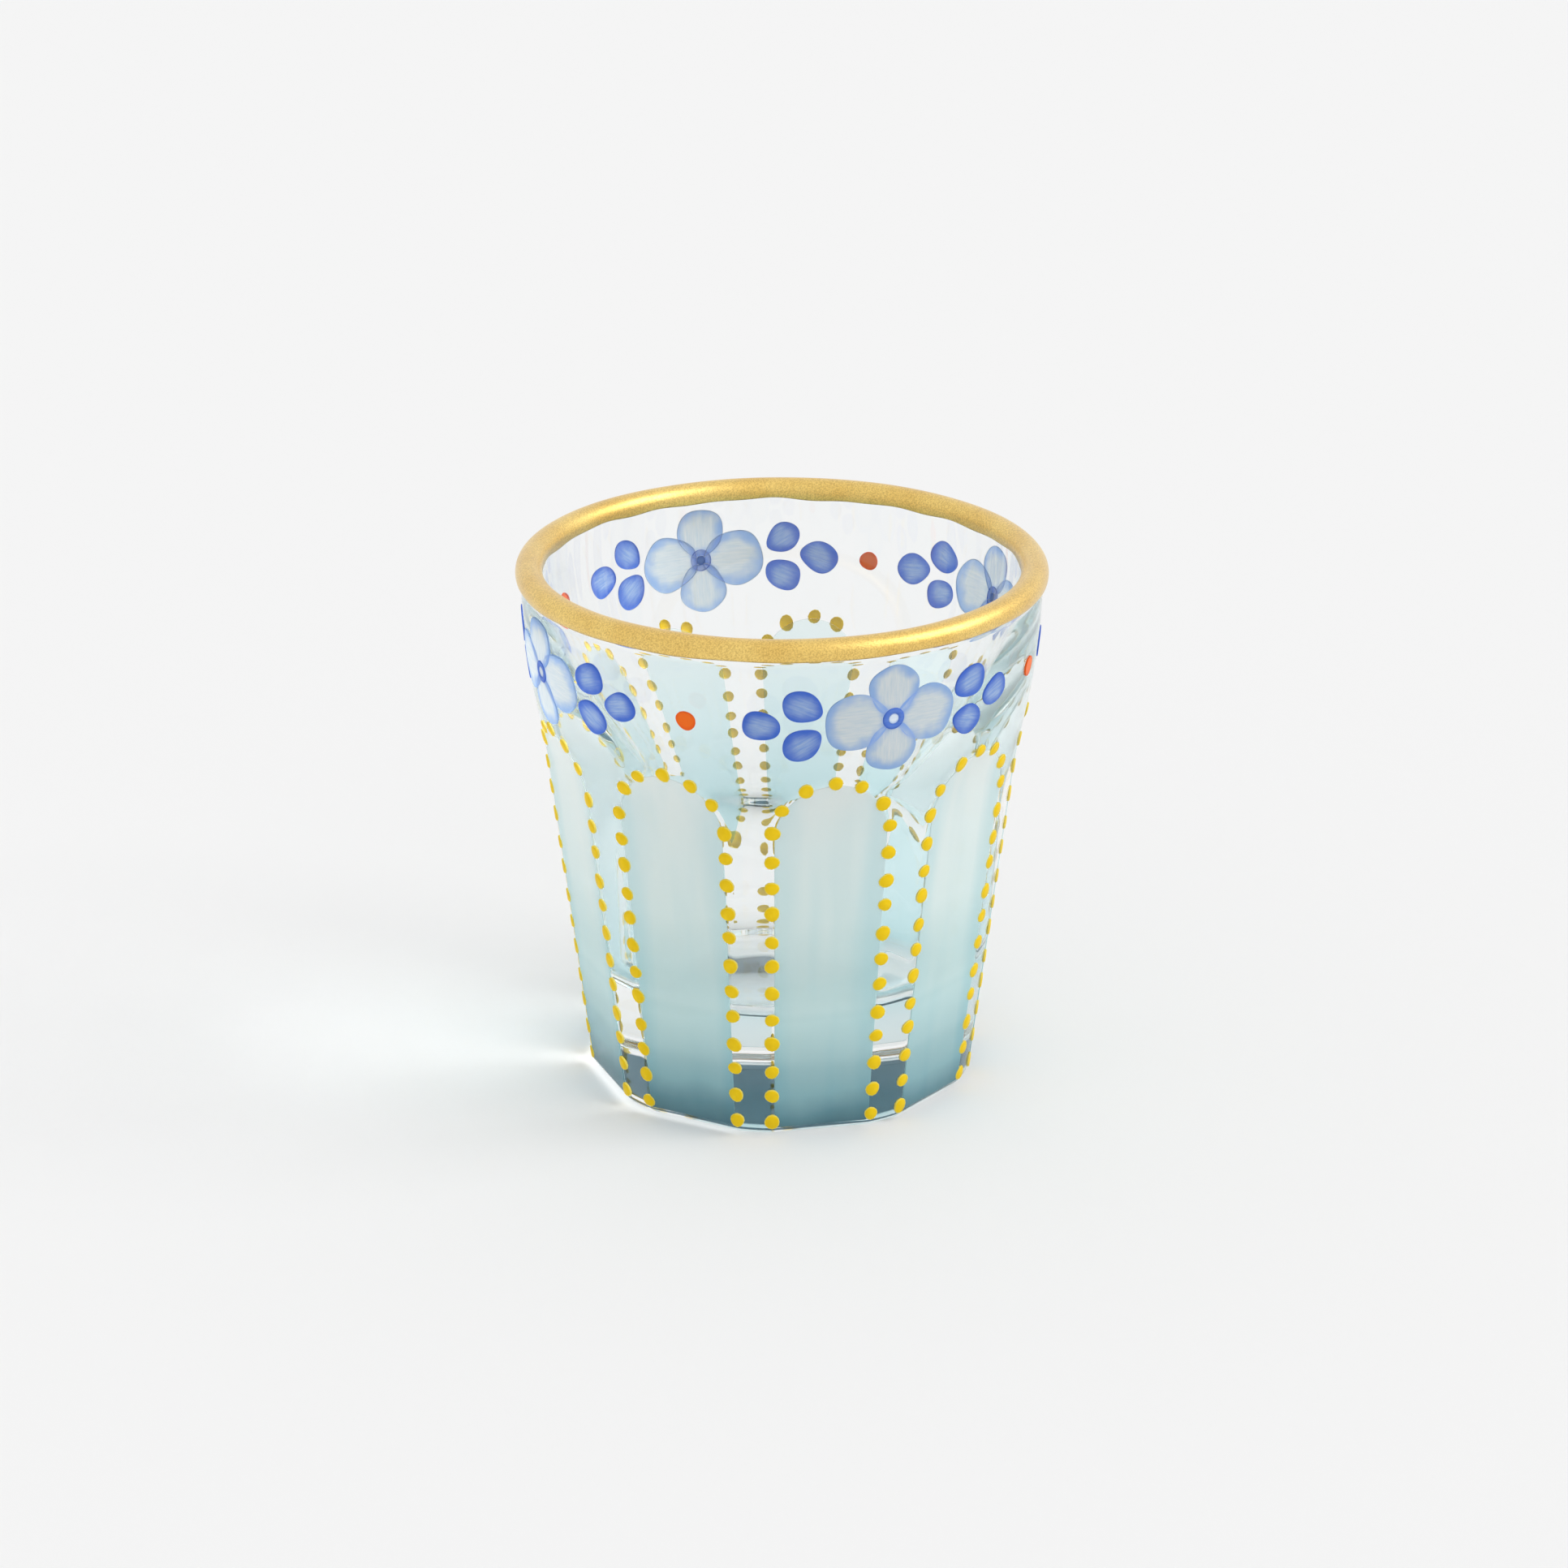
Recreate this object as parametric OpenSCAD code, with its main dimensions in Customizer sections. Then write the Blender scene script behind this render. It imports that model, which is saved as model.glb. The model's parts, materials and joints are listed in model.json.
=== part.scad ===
// Pressed tea glass with nine scooped panels, a gilded lip and painted enamel.
// Millimetres, +Z up, origin at the middle of the foot, front of the glass towards -Y.

/* [Glass body] */
// Height of the bare glass, from the table to the top of the lip
glass_h = 68.4; // [64:0.1:80]
// Radius of the ribs where their line meets the table
foot_r = 24.5; // [22:0.1:28]
// Outward lean of the ribs, radius gained for each unit of height
rib_lean_share = 0.125; // [0.1:0.005:0.15]
// Height where the clear upper band starts to flare
flare_z = 42; // [38:0.5:44]
// Height where the flare leans out the most
flare_peak_z = 49; // [46:0.5:54]
// Lean of the flare at its steepest
flare_lean_share = 0.21; // [0.15:0.005:0.24]
// Thickness of the wall at the lip, which is fully rounded
lip_t = 2.6; // [2:0.1:3.2]
// How far the lip stands out from the wall under it
lip_out = 0.25; // [0.1:0.05:0.5]
// Rounding under the outer edge of the foot
foot_round = 1.3; // [0.8:0.1:2.4]

/* [Bowl] */
// Thickness of the glass under the bowl
floor_t = 14.9; // [9:0.1:16]
// Radius of the bowl where its wall meets the floor
floor_r = 20.4; // [18:0.1:21.5]
// Rounding between the floor of the bowl and its wall
heel_r = 4.5; // [2:0.1:6]
// Outward lean of the lower wall of the bowl
bowl_lean_share = 0.04; // [0.02:0.005:0.08]
// Height where the bowl starts to flare
bowl_flare_z = 35; // [32:0.5:38]
// Height where the bowl leans out the most
bowl_peak_z = 46.5; // [44:0.5:49]
// Lean of the bowl where it meets the lip
bowl_lip_share = 0.06; // [0.02:0.005:0.1]
// Radius of the hollow pressed into the underside of the foot
hollow_r = 17.5; // [14:0.5:19]
// Depth of that hollow at its middle
hollow_depth = 0.8; // [0.4:0.1:1.4]

/* [Panels] */
// Number of panels round the glass
panel_n = 9; // [8:1:10]
// Turn of the first panel from the front, in degrees
panel_turn = 12; // [0:1:40]
// Depth of a panel below the line of the ribs, at the height where the band starts to flare
panel_depth = 0.93; // [0.75:0.01:1.1]
// How much less the panels lean out than the ribs
panel_ease_share = 0.0025; // [0.002:0.0005:0.005]
// Height of the crown of each panel's arch
arch_top_z = 49.8; // [48:0.1:51]
// Thickness of the frosted coat
coat_t = 0.12; // [0.08:0.01:0.2]
// Bare margin between the coat and the edge of its panel
coat_margin = 0.3; // [0.2:0.05:0.6]

/* [Yellow dots] */
// Number of dots round one panel, from foot to foot
dot_n = 29; // [23:2:31]
// Radius of a dot on the glass
dot_r = 0.95; // [0.7:0.05:1.05]
// Height of a dot above the glass
dot_rise = 0.3; // [0.2:0.05:0.4]
// Height of the lowest dots above the table
dot_z = 2; // [1.6:0.1:3]
// How far a dot strays from its place by hand
dot_stray = 0.2; // [0:0.02:0.3]

/* [Garland] */
// Clear glass between the dots on the arches and the petals above them
petal_foot_gap = 0.15; // [0.1:0.05:0.6]
// Clear glass between the highest petals and the gilding
petal_head_gap = 1.5; // [0.8:0.1:3]
// Reach of the sideways petals from the middle of the flower
petal_reach = 8.6; // [7:0.1:9.4]
// Width of the two petals that stand upright
petal_w = 6.6; // [5.5:0.1:7.4]
// Width of the two petals that lie across
petal_side_w = 7.4; // [6:0.1:8]
// Thickness of the petals
petal_t = 0.12; // [0.08:0.01:0.2]
// Outer radius of the ring in the flower
ring_r = 1.45; // [1.1:0.05:1.7]
// Radius of the pale heart inside the ring
heart_r = 0.65; // [0.4:0.05:0.9]
// Thickness of the ring and its heart
ring_t = 0.2; // [0.12:0.01:0.3]
// Length of a leaf dab
leaf_l = 5; // [3.8:0.1:5.2]
// Width of a leaf dab
leaf_w = 4; // [3:0.1:4.2]
// Thickness of a leaf dab
leaf_t = 0.16; // [0.1:0.01:0.25]
// Clear glass between a leaf dab and its neighbours
leaf_gap = 0.5; // [0.4:0.05:1]
// Radius of an orange dot on the glass
orange_r = 1.25; // [0.9:0.05:1.5]
// Height of an orange dot above the glass
orange_rise = 0.25; // [0.2:0.05:0.4]

/* [Gilding] */
// Thickness of the gilding over the lip
gild_t = 0.45; // [0.3:0.05:0.6]
// Drop of the gilding below the middle of the lip's round
gild_drop = 0.7; // [0.4:0.05:1.2]

/* [Hidden] */
$fn = 240;
flower_turns = [24.6, 117, 200, 293.3];
flower_n = len(flower_turns);
trio_n = 2 * flower_n;
golden_turn = 137.508;
overrun = 4;
flare_steps = 4;
crown_steps = 7;
bowl_steps = 9;
outline_steps = 26;
dot_steps = 96;
egg_share = 0.16;
leaf_egg_share = 0.14;
leaf_tilt = 24;
leaf_tilt_stray = 16;
leaf_stray_share = 0.05;
dot_size_share = 0.07;
petal_root_share = 0.7;

lip_r = lip_t / 2;
lip_z = glass_h - lip_r;
rib_lean_turn = atan(rib_lean_share);
panel_lean_share = rib_lean_share - panel_ease_share;
panel_lean_turn = atan(panel_lean_share);
coat_z = foot_round * (1 - sin(rib_lean_turn));

// Radius that a flare adds to a straight cone: its lean grows from start to peak, then eases up to the lip
function flare_gain(z, start, peak, lean_share, peak_share, lip_share) =
    let (low = max(min(z, peak) - start, 0), high = max(z - peak, 0))
    (peak_share - lean_share) * (low * low / (peak - start) / 2 + high)
        - (peak_share - lip_share) * high * high / (lip_z - peak) / 2;
function flare_heights(start, peak, low_n, high_n) = [
    for (i = [0:low_n]) start + (peak - start) * i / low_n,
    for (i = [1:high_n]) peak + (lip_z - peak) * i / high_n];

// Radius of the ribs at a height: a straight cone, then a flare that eases to upright at the lip
function cone_r(z) = foot_r + rib_lean_share * z;
function rib_r(z) =
    cone_r(z) + flare_gain(z, flare_z, flare_peak_z, rib_lean_share, flare_lean_share, 0);
function rib_line(grow) = [
    for (z = flare_heights(flare_z, flare_peak_z, flare_steps, crown_steps)) [rib_r(z) + grow, z]];

// A steady hand's small errors: the same for the same count, between -1 and 1
function stray(i) = sin(golden_turn * i);

// Distance of a panel's flat from the axis, half its width between its edges, and the round of its arch
function panel_r(z) = cone_r(flare_z) - panel_depth + panel_lean_share * (z - flare_z);
function panel_half(z) = sqrt(pow(cone_r(z), 2) - pow(panel_r(z), 2));
arch_r = panel_half(flare_z);
arch_z = arch_top_z - arch_r;

// The wheel that scoops out the head of a panel: it leaves the flat at arch_z and the ribs at arch_top_z
arch_out = rib_r(arch_top_z) - panel_r(arch_z);
scoop_up = (arch_r + arch_out * panel_lean_share) * cos(panel_lean_turn);
scoop_out = (arch_out - arch_r * panel_lean_share) * cos(panel_lean_turn);
scoop_r = (scoop_up * scoop_up + scoop_out * scoop_out) / scoop_out / 2;

// Path of the dots: up one side of a panel, over its arch and down the other
dot_side_l = arch_z - dot_z;
dot_path_l = 2 * dot_side_l + PI * arch_r;

// The garland fills the band between the dots on the arches and the gilding
petal_low_z = arch_top_z + dot_r * (1 + dot_size_share) + petal_foot_gap;
petal_high_z = lip_z - gild_drop - petal_head_gap;
garland_z = (petal_low_z + petal_high_z) / 2;
upright_reach = (petal_high_z - petal_low_z) / 2;
leaf_near_way = petal_reach + leaf_gap + leaf_l * cos(leaf_tilt) / 2;
leaf_far_way = leaf_near_way + leaf_l;
leaf_rise = leaf_w / 2 + leaf_gap;

// The lip's round, which the gilding follows
lip_mid_r = rib_r(lip_z) + lip_out - lip_r;

// Radius of the bowl at a height, with the lean at its flare that brings the wall to the lip
bowl_low = (bowl_peak_z - bowl_flare_z) / 2;
bowl_high = lip_z - bowl_peak_z;
bowl_peak_share = bowl_lean_share
    + (lip_mid_r - lip_r - floor_r - bowl_lean_share * (lip_z - floor_t)
        + (bowl_lean_share - bowl_lip_share) * bowl_high / 2) / (bowl_low + bowl_high / 2);
function bowl_r(z) = floor_r + bowl_lean_share * (z - floor_t)
    + flare_gain(z, bowl_flare_z, bowl_peak_z, bowl_lean_share, bowl_peak_share, bowl_lip_share);

function numbered(name, count) = [for (i = [1:count]) str(name, "_", i)];

// Outer form before the panels are scooped, with a rounded foot and lip
module blank() {
    foot_in = foot_round * (1 - sin(rib_lean_turn)) / cos(rib_lean_turn);
    rotate_extrude() {
        polygon(concat(
            [[0, 0], [foot_r - foot_in, 0],
             [foot_r - foot_in + foot_round * cos(rib_lean_turn), coat_z]],
            rib_line(0),
            [[0, lip_z]]));
        translate([foot_r - foot_in, foot_round]) circle(r = foot_round);
        translate([lip_mid_r, lip_z]) circle(r = lip_r);
    }
}

// Space of the bowl: floor, rounded heel, a wall that is nearly upright, and a flare up to the lip
module bowl() {
    wall_turn = atan(bowl_lean_share);
    heel_in = heel_r * (1 - sin(wall_turn)) / cos(wall_turn);
    rotate_extrude() {
        polygon(concat(
            [[0, floor_t], [floor_r - heel_in, floor_t],
             [floor_r - heel_in + heel_r * cos(wall_turn), floor_t + heel_r - heel_r * sin(wall_turn)]],
            [for (z = flare_heights(bowl_flare_z, bowl_peak_z, bowl_steps, bowl_steps)) [bowl_r(z), z]],
            [[lip_mid_r - lip_r, glass_h + overrun], [0, glass_h + overrun]]));
        translate([floor_r - heel_in, floor_t + heel_r]) circle(r = heel_r);
    }
}

// Section of what is cut away in front of a panel, seen from its side: a flat, then the wheel
module panel_section(inset) {
    translate([panel_r(arch_z), arch_z]) rotate(-panel_lean_turn) {
        translate([scoop_r, 0]) circle(r = scoop_r - inset);
        translate([inset, -arch_z - overrun]) square([2 * scoop_r, arch_z + overrun]);
    }
}

module panel_cut(inset, width) {
    rotate([90, 0, -90]) linear_extrude(height = width, center = true) panel_section(inset);
}

// Outline of a frosted coat, seen from in front of its panel
module coat_outline() {
    foot_half = panel_half(coat_z) - coat_margin;
    head_half = arch_r - coat_margin;
    polygon([[-foot_half, coat_z], [foot_half, coat_z], [head_half, arch_z], [-head_half, arch_z]]);
    translate([0, arch_z]) circle(r = head_half);
}

module coat() {
    intersection() {
        difference() {
            panel_cut(0, 2 * arch_r);
            panel_cut(coat_t, 2 * arch_r + overrun);
        }
        face_prism() coat_outline();
    }
}

// Place of a dot at a length along its path: how far it lies beside the panel's middle, and its height
function side_place(side, up) = [side * panel_half(dot_z + up), dot_z + up];
function arch_place(turn) = [-arch_r * cos(turn), arch_z + arch_r * sin(turn)];
function dot_place(along) =
    along < dot_side_l ? side_place(-1, along)
    : along > dot_path_l - dot_side_l ? side_place(1, dot_path_l - along)
    : arch_place((along - dot_side_l) / arch_r * 180 / PI);
function dot_along(k, count) =
    let (even = dot_path_l * k / (dot_n - 1))
    k == 0 || k == dot_n - 1 ? even : even + dot_stray * stray(count);

// Radius of the ball that shows as a cap of the given radius and height
function ball_r(cap_r, rise) = (cap_r * cap_r + rise * rise) / rise / 2;

// A bead that shows as a round cap of the given radius and height where it stands out of the glass
module bead(place, cap_r, rise) {
    wall_r = rib_r(place[1]);
    turn = asin(place[0] / wall_r);
    rotate([0, 0, turn]) translate([0, -wall_r, place[1]]) rotate([rib_lean_turn, 0, -turn / 2])
        translate([0, ball_r(cap_r, rise) - rise, 0]) sphere(r = ball_r(cap_r, rise));
}

// A layer of enamel on the clear band, cut to an outline that faces a place round the glass
module band_layer(thickness) {
    rotate_extrude() polygon(concat(rib_line(thickness), [for (i = [0:len(rib_line(0)) - 1])
        rib_line(0)[len(rib_line(0)) - 1 - i]]));
}

module face_prism() {
    rotate([90, 0, 0]) linear_extrude(height = 2 * foot_r) children();
}

function way_turn(way) = way / rib_r(garland_z) * 180 / PI;

// An egg with its narrow end at the start of its length
module egg(length, width, narrow_share) {
    polygon([for (i = [0:outline_steps - 1]) let (turn = 360 * i / outline_steps)
        [length * (1 + cos(turn)) / 2, width * sin(turn) * (1 + narrow_share * cos(turn)) / 2]]);
}

module petal_outline(side) {
    across = side % 2 == 0;
    reach = across ? petal_reach : upright_reach;
    root = ring_r * petal_root_share;
    rotate(90 * side) translate([root, 0]) egg(reach - root, across ? petal_side_w : petal_w, egg_share);
}

// Leaf 0 points away from the flower, and leaves 1 and 2 lie above and below its line
function leaf_side(leaf) = leaf == 0 ? 0 : leaf == 1 ? 1 : -1;

module leaf_outline(count, leaf, side) {
    grow = 1 + leaf_stray_share * stray(count + flower_n);
    mirror([side < 0 ? 1 : 0, 0]) rotate(leaf_tilt * leaf_side(leaf) + leaf_tilt_stray * stray(count))
        translate([-leaf_l * grow / 2, 0]) egg(leaf_l * grow, leaf_w * grow, leaf_egg_share);
}

module glass_body() {
    color([0.9, 0.95, 0.95, 0.4]) difference() {
        blank();
        for (i = [1:panel_n]) rotate([0, 0, panel_turn + 360 * (i - 1) / panel_n])
            panel_cut(0, 2 * arch_r + overrun);
        bowl();
        translate([0, 0, hollow_depth - ball_r(hollow_r, hollow_depth)])
            sphere(r = ball_r(hollow_r, hollow_depth));
    }
}

module gilded_rim() {
    color([0.8, 0.6, 0.2]) difference() {
        rotate_extrude() {
            translate([lip_mid_r, lip_z]) circle(r = lip_r + gild_t);
            translate([lip_mid_r - lip_r - gild_t, lip_z - gild_drop])
                square([lip_t + 2 * gild_t, gild_drop]);
        }
        difference() {
            blank();
            bowl();
        }
    }
}

module frosted_panel(i) {
    color([0.62, 0.8, 0.82, 0.8]) rotate([0, 0, panel_turn + 360 * (i - 1) / panel_n]) coat();
}

module dot_border(i) {
    color([0.93, 0.78, 0.1]) rotate([0, 0, panel_turn + 360 * (i - 1) / panel_n]) difference() {
        for (k = [0:dot_n - 1])
            let (count = i * dot_n + k, size = 1 + dot_size_share * stray(count + dot_n))
            bead(dot_place(dot_along(k, count)), dot_r * size, dot_rise, $fn = dot_steps);
        difference() {
            blank();
            panel_cut(0, 2 * arch_r + overrun);
        }
        coat();
    }
}

module flower_petals(i) {
    color([0.72, 0.8, 0.9]) rotate([0, 0, flower_turns[i - 1]]) intersection() {
        band_layer(petal_t);
        face_prism() translate([0, garland_z]) difference() {
            for (side = [0:3]) petal_outline(side);
            circle(r = ring_r);
        }
    }
}

module flower_ring(i) {
    color([0.33, 0.49, 0.82]) rotate([0, 0, flower_turns[i - 1]]) intersection() {
        band_layer(ring_t);
        face_prism() translate([0, garland_z]) difference() {
            circle(r = ring_r);
            circle(r = heart_r);
        }
    }
}

module flower_heart(i) {
    color([0.85, 0.9, 0.95]) rotate([0, 0, flower_turns[i - 1]]) intersection() {
        band_layer(ring_t);
        face_prism() translate([0, garland_z]) circle(r = heart_r);
    }
}

module leaf_trio(i) {
    side = i % 2 == 0 ? 1 : -1;
    flower_turn = flower_turns[ceil(i / 2) - 1];
    color([0.3, 0.45, 0.82]) for (leaf = [0:2])
        rotate([0, 0, flower_turn + side * way_turn(leaf == 0 ? leaf_far_way : leaf_near_way)])
            intersection() {
                band_layer(leaf_t);
                face_prism() translate([0, garland_z + leaf_rise * leaf_side(leaf)])
                    leaf_outline(3 * i + leaf, leaf, side);
            }
}

module orange_dot(i) {
    next_turn = i == flower_n ? flower_turns[0] + 360 : flower_turns[i];
    color([0.93, 0.41, 0.14]) rotate([0, 0, (flower_turns[i - 1] + next_turn) / 2]) difference() {
        bead([0, garland_z], orange_r, orange_rise);
        blank();
    }
}

glass_body();
gilded_rim();
for (i = [1:panel_n]) {
    frosted_panel(i);
    dot_border(i);
}
for (i = [1:flower_n]) {
    flower_petals(i);
    flower_ring(i);
    flower_heart(i);
    orange_dot(i);
}
for (i = [1:trio_n]) {
    leaf_trio(i);
}
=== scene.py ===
import json
import math
import bpy
import numpy as np
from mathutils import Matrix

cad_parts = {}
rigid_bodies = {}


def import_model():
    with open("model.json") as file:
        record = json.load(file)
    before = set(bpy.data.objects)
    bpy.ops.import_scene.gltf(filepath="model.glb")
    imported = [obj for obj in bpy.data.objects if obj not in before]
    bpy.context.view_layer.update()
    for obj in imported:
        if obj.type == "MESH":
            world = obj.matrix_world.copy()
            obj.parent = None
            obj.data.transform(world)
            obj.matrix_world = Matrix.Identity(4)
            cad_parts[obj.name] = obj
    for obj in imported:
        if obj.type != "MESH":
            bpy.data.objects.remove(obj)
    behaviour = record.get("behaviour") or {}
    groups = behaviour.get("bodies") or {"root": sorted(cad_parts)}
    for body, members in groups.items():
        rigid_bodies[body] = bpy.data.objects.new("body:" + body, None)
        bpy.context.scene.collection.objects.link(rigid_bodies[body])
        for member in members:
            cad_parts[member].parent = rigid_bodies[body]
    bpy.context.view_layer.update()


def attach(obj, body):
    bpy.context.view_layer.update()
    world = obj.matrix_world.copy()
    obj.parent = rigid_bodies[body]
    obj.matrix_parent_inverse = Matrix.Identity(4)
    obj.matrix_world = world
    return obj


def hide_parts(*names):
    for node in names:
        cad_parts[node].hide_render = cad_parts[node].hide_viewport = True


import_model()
scene = bpy.context.scene
mm = 0.001

# sizes of the glass in millimetres, the same as in the part's source
glass = {
    "height": 68.4, "footR": 24.5, "ribLean": 0.125, "flareZ": 42.0, "flarePeakZ": 49.0, "flareLean": 0.21,
    "lipT": 2.6, "lipOut": 0.25, "footRound": 1.3, "floorT": 14.9, "floorR": 20.4, "heelR": 4.5,
    "bowlLean": 0.04, "bowlFlareZ": 35.0, "bowlPeakZ": 46.5, "bowlLipLean": 0.06,
    "hollowR": 17.5, "hollowDepth": 0.8, "hollowRows": 10, "panelN": 9, "panelTurn": 12.0,
    "panelDepth": 0.93, "panelEase": 0.0025, "archTopZ": 49.8, "creaseSoft": 0.055, "columns": 540,
    "firstStep": 0.9, "straightZ": 40.0, "headZ": 52.0,
}
lipR = glass["lipT"] / 2
lipZ = glass["height"] - lipR
panelStep = 2 * math.pi / glass["panelN"]
panelLean = glass["ribLean"] - glass["panelEase"]
goldenTurn = math.radians(137.508)


def stray(count):  # a steady hand's small errors, the same for the same count
    return np.sin(goldenTurn * np.asarray(count, float))


def coneR(z):
    return glass["footR"] + glass["ribLean"] * z


def flareGain(z, start, peak, lean, peakLean, lipLean):
    # radius that a flare adds to a cone: a parabola that leans out from start to peak,
    # then one that eases up to the lip
    low = np.clip(np.minimum(z, peak) - start, 0, None)
    high = np.clip(z - peak, 0, None)
    return ((peakLean - lean) * (low**2 / (peak - start) / 2 + high)
            - (peakLean - lipLean) * high**2 / (lipZ - peak) / 2)


def ribR(z):
    z = np.asarray(z, float)
    lipLean = 0.0
    return coneR(z) + flareGain(z, glass["flareZ"], glass["flarePeakZ"], glass["ribLean"],
                                glass["flareLean"], lipLean)


def panelR(z):
    return coneR(glass["flareZ"]) - glass["panelDepth"] + panelLean * (z - glass["flareZ"])


def panelHalf(z):
    return np.sqrt(coneR(z) ** 2 - panelR(z) ** 2)


# the wheel that scoops the head of a panel leaves the flat at archZ and the ribs at archTopZ
archR = float(panelHalf(glass["flareZ"]))
archZ = glass["archTopZ"] - archR
archOut = float(ribR(glass["archTopZ"])) - panelR(archZ)
leanTurn = math.atan(panelLean)
scoopUp = (archR + archOut * panelLean) * math.cos(leanTurn)
scoopOut = (archOut - archR * panelLean) * math.cos(leanTurn)
scoopR = (scoopUp**2 + scoopOut**2) / scoopOut / 2
lipMidR = float(ribR(lipZ)) + glass["lipOut"] - lipR

# the lean at the flare of the bowl is the one that brings its wall to the lip
bowlLow = (glass["bowlPeakZ"] - glass["bowlFlareZ"]) / 2
bowlHigh = lipZ - glass["bowlPeakZ"]
bowlGain = lipMidR - lipR - glass["floorR"] - glass["bowlLean"] * (lipZ - glass["floorT"])
bowlGain += (glass["bowlLean"] - glass["bowlLipLean"]) * bowlHigh / 2
bowlPeakLean = glass["bowlLean"] + bowlGain / (bowlLow + bowlHigh / 2)


def bowlR(z):
    z = np.asarray(z, float)
    return (glass["floorR"] + glass["bowlLean"] * (z - glass["floorT"])
            + flareGain(z, glass["bowlFlareZ"], glass["bowlPeakZ"], glass["bowlLean"], bowlPeakLean,
                        glass["bowlLipLean"]))


def panelOut(z):
    # distance of a panel from the axis: its flat, and above archZ the arc of the wheel
    z = np.asarray(z, float)
    midX = panelR(archZ) + scoopR * math.cos(leanTurn)
    midZ = archZ - scoopR * math.sin(leanTurn)
    arc = midX - np.sqrt(np.clip(scoopR**2 - (z - midZ) ** 2, 0, None))
    return np.where(z < archZ, panelR(z), arc)


def outerR(turn, z):
    # outside of the glass: the lesser of ribs and panels, with the edge between them softened
    phi = (turn - math.radians(glass["panelTurn"]) + panelStep / 2) % panelStep - panelStep / 2
    flat = panelOut(z) / np.cos(phi)
    rib = ribR(z)
    return (flat + rib - np.sqrt((flat - rib) ** 2 + 4 * glass["creaseSoft"] ** 2)) / 2


def place(turn, radius, z):  # cylinder to metres, with turn counted from the front towards +X
    turn, radius, z = np.broadcast_arrays(turn, radius, z)
    return np.stack([np.sin(turn) * radius, -np.cos(turn) * radius, z], -1) * mm


def gridMesh(name, blocks, uvs=None, edges=None):
    # blocks: point grids of rows by columns, closed round their columns, with how each grid ends:
    # in a pole, which is one point, at the start or the end, or in a ring, where its last row is its first.
    # edges: a number at each point that materials read, the share of an outline or a mark
    verts, faces, uvCorners, edgeVerts = [], [], [], []
    start = 0
    for number, (points, ends) in enumerate(blocks):
        rows, columns = points.shape[:2]
        index = np.arange(rows * columns).reshape(rows, columns)
        if "first" in ends:
            index[0] = 0
        if "last" in ends:
            index[-1] = (rows - 1) * columns
        if "ring" in ends:
            index[-1] = index[0]
        used, flat = np.unique(index, return_inverse=True)
        index = flat.reshape(rows, columns) + start
        verts.append(points.reshape(-1, 3)[used])
        ahead = np.roll(index, -1, 1)
        quads = np.stack([index[:-1], ahead[:-1], ahead[1:], index[1:]], -1).reshape(-1, 4)
        faces.append(quads)
        if uvs is not None:
            uv = uvs[number]
            uvAhead = np.roll(uv, -1, 1)
            corners = np.stack([uv[:-1], uvAhead[:-1], uvAhead[1:], uv[1:]], -2)
            uvCorners.append(corners.reshape(-1, 4, 2))
        if edges is not None:
            edgeVerts.append(edges[number].reshape(-1)[used])
        start += len(used)
    verts = np.concatenate(verts)
    quads = np.concatenate(faces)
    # a face that touches a pole is a triangle: its doubled corner is left out
    keep = np.ones(quads.shape, bool)
    keep[:, 1] = quads[:, 0] != quads[:, 1]
    keep[:, 3] = quads[:, 2] != quads[:, 3]
    sizes = keep.sum(1)
    mesh = bpy.data.meshes.new(name)
    mesh.vertices.add(len(verts))
    mesh.vertices.foreach_set("co", verts.astype(np.float32).reshape(-1))
    loops = quads[keep]
    mesh.loops.add(len(loops))
    mesh.loops.foreach_set("vertex_index", loops.astype(np.int32))
    mesh.polygons.add(len(sizes))
    loopStarts = np.concatenate([[0], np.cumsum(sizes)[:-1]])
    mesh.polygons.foreach_set("loop_start", loopStarts.astype(np.int32))
    mesh.polygons.foreach_set("use_smooth", np.ones(len(sizes), bool))
    if uvs is not None:
        layer = mesh.uv_layers.new(name="paintMap")
        layer.data.foreach_set("uv", np.concatenate(uvCorners)[keep].astype(np.float32).reshape(-1))
    if edges is not None:
        attribute = mesh.attributes.new("edge", "FLOAT", "POINT")
        attribute.data.foreach_set("value", np.concatenate(edgeVerts).astype(np.float32))
    mesh.update(calc_edges=True)
    mesh.validate()
    return mesh


def addPiece(name, mesh, material, node):
    mesh.materials.append(material)
    piece = bpy.data.objects.new(name, mesh)
    scene.collection.objects.link(piece)
    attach(piece, "root")
    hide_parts(node)
    return piece


def newMaterial(name, **sockets):
    material = bpy.data.materials.new(name)
    material.use_nodes = True
    shader = material.node_tree.nodes["Principled BSDF"]
    for socket, value in sockets.items():
        shader.inputs[socket.replace("_", " ")].default_value = value
    return material, material.node_tree, shader


def addNode(tree, kind, links=(), **settings):
    # one node with its settings, and links as (input, source socket or value)
    node = tree.nodes.new(kind)
    for key, value in settings.items():
        setattr(node, key, value)
    for socket, source in links:
        if isinstance(source, bpy.types.NodeSocket):
            tree.links.new(source, node.inputs[socket])
        else:
            node.inputs[socket].default_value = source
    return node


def ramp(tree, source, stops):
    # colour by source, with stops as (position, colour)
    node = addNode(tree, "ShaderNodeValToRGB", [("Fac", source)])
    points = node.color_ramp.elements
    while len(points) < len(stops):
        points.new(0.5)
    for point, (at, colour) in zip(points, stops):
        point.position = at
        point.color = (*colour, 1)
    return node.outputs["Color"]


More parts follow.
